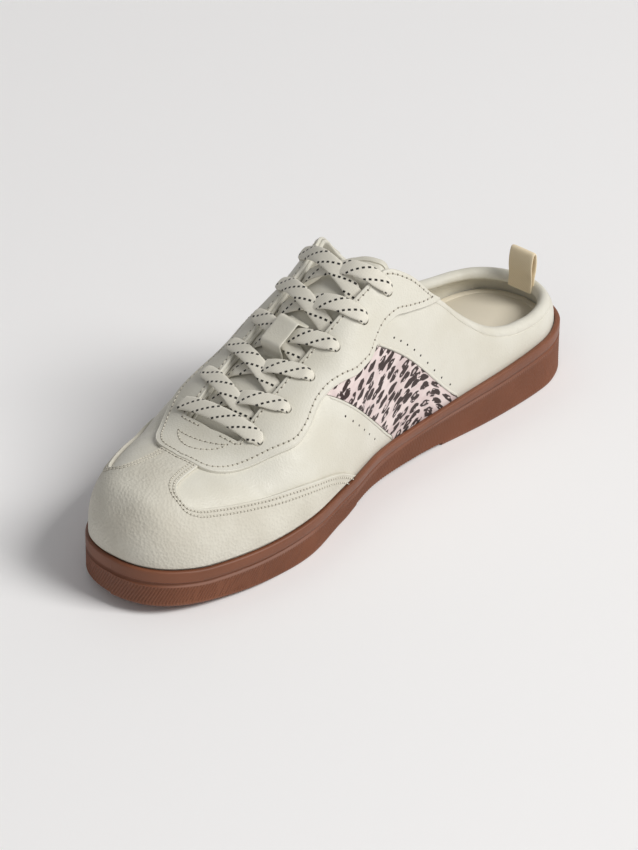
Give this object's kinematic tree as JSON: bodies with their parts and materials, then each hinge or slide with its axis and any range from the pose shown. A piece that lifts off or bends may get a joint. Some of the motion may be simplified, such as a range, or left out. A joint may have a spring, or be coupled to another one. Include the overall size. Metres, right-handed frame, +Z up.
{
  "type": "slip-on mule sneaker",
  "caption": "Right slip-on mule sneaker: leather upper with an open low heel, toe overlay, crossed flat laces, spotted side panels, heel loop and gum rubber cup sole.",
  "frame": {"origin": "on the ground, under the middle of the shoe's bounding box", "axes": "+Y towards the heel (the toe points to -Y), +X towards the inner side of the foot, +Z up"},
  "size_m": [0.094, 0.2692, 0.0992],
  "materials": {
    "gum_rubber": "satin gum rubber, ribbed side band",
    "insole_cloth": "matte cream lining",
    "smooth_leather": "smooth off-white leather",
    "grained_leather": "fine grained off-white nubuck",
    "printed_cloth": "pale pink nap with dark spots",
    "lace": "flat woven cream with dark dashes",
    "webbing": "beige twill tape"
  },
  "bodies": {
    "root": {"outsole": "gum_rubber", "insole": "insole_cloth", "upper": "smooth_leather", "toe_overlay": "grained_leather", "eyestay": "smooth_leather", "side_panel_medial": "printed_cloth", "side_panel_lateral": "printed_cloth", "tongue": "smooth_leather", "tongue_keeper": "smooth_leather", "lace_bar": "lace", "lace_cross_2": "lace", "lace_cross_3": "lace", "lace_cross_4": "lace", "lace_cross_5": "lace", "lace_cross_6": "lace", "heel_loop": "webbing"}
  },
  "joints": []
}
